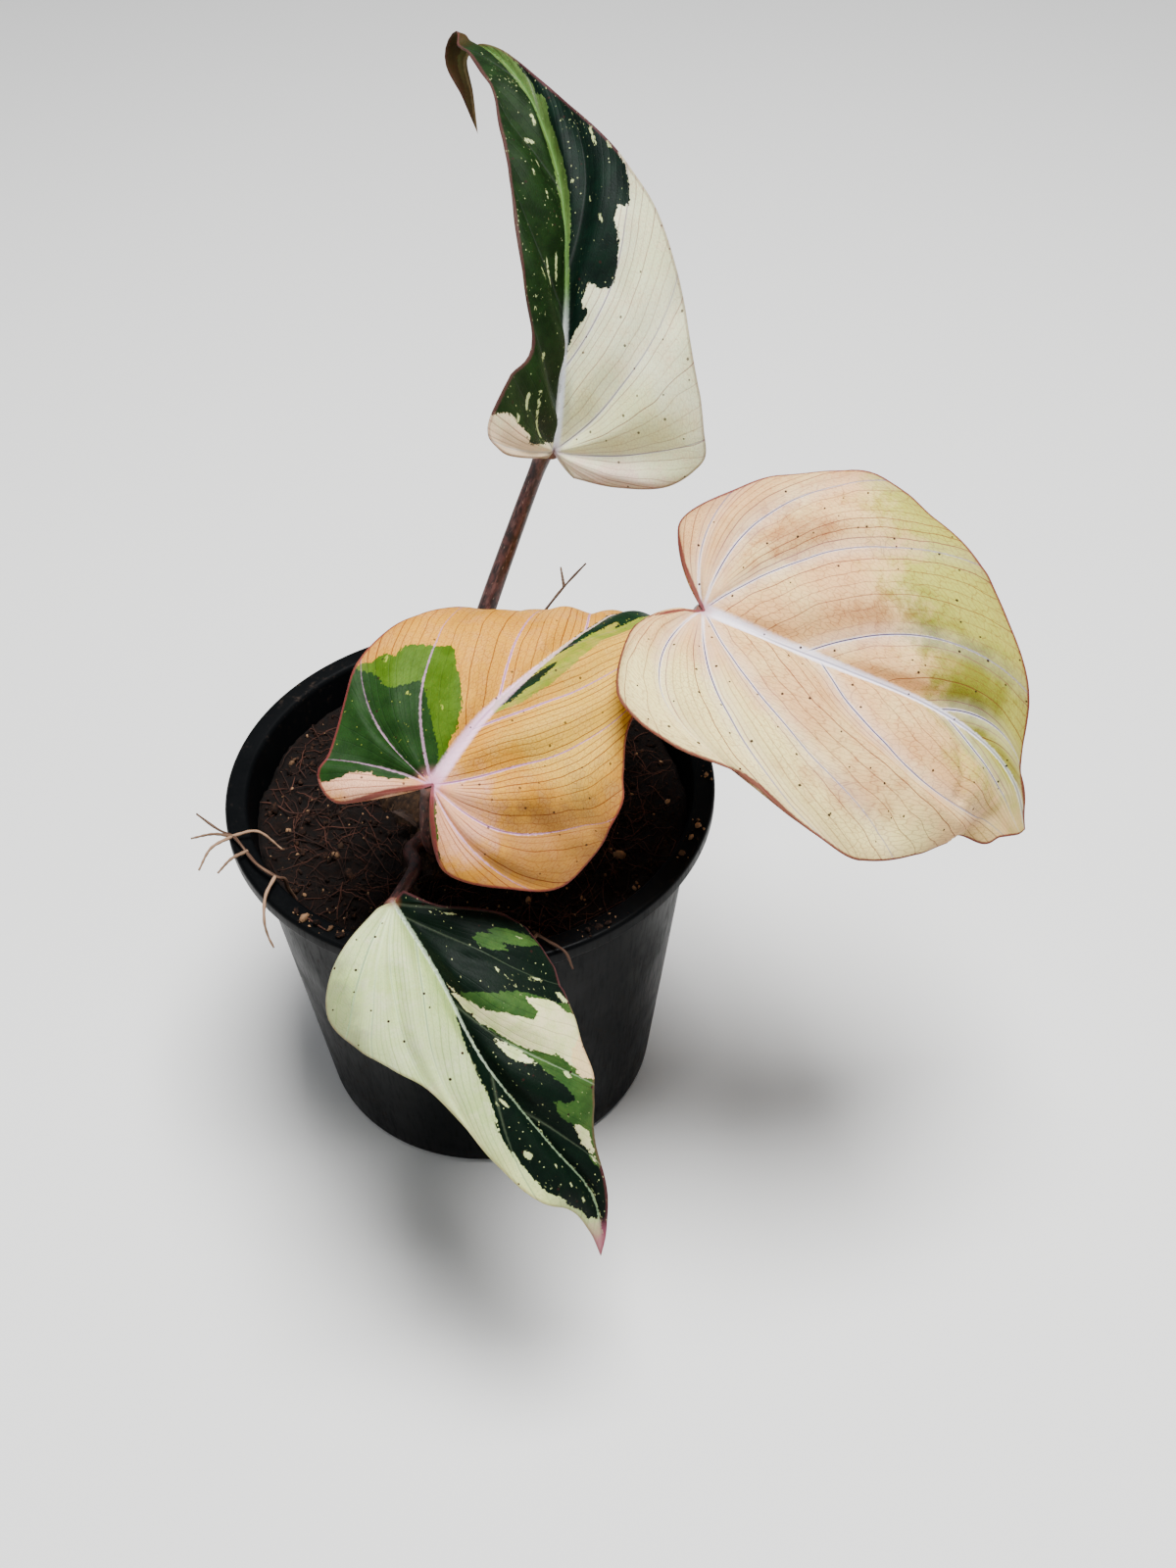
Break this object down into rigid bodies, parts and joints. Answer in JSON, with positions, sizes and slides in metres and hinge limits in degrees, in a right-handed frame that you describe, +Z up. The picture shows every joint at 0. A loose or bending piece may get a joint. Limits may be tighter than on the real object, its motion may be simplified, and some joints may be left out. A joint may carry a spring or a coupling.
{
  "type": "potted philodendron plant",
  "caption": "Potted creeping aroid with heart-shaped tricolour leaves on arched stalks, in a tapered round nursery pot of soil.",
  "frame": {"origin": "centre of the pot's flat foot, on the surface that the pot stands on", "axes": "+Z up along the pot's axis, -Y towards the side that the front leaf hangs over, +X towards the large right leaf"},
  "size_m": [0.2247, 0.2337, 0.2831],
  "materials": {
    "pot": "satin black moulded plastic",
    "soil": "loose dark coir and peat",
    "creeping_stem": "rough brown stem",
    "stalk": "streaked red-brown stalk",
    "root": "dry fibrous root",
    "blade_upright": "velvety dark green leaf with cream sectors",
    "blade_right": "velvety cream and peach leaf with pale veins",
    "blade_centre": "velvety orange-peach leaf with green sectors",
    "blade_front": "velvety leaf, half pale cream-green and half dark green"
  },
  "bodies": {
    "root": {"pot": "pot", "soil": "soil", "creeping_stem": "creeping_stem", "stalk_upright": "stalk", "stalk_right": "stalk", "stalk_centre": "stalk", "stalk_front": "stalk", "blade_upright": "blade_upright", "blade_right": "blade_right", "blade_centre": "blade_centre", "blade_front": "blade_front", "root_left": "root", "root_front": "root", "root_back": "root"}
  },
  "joints": []
}
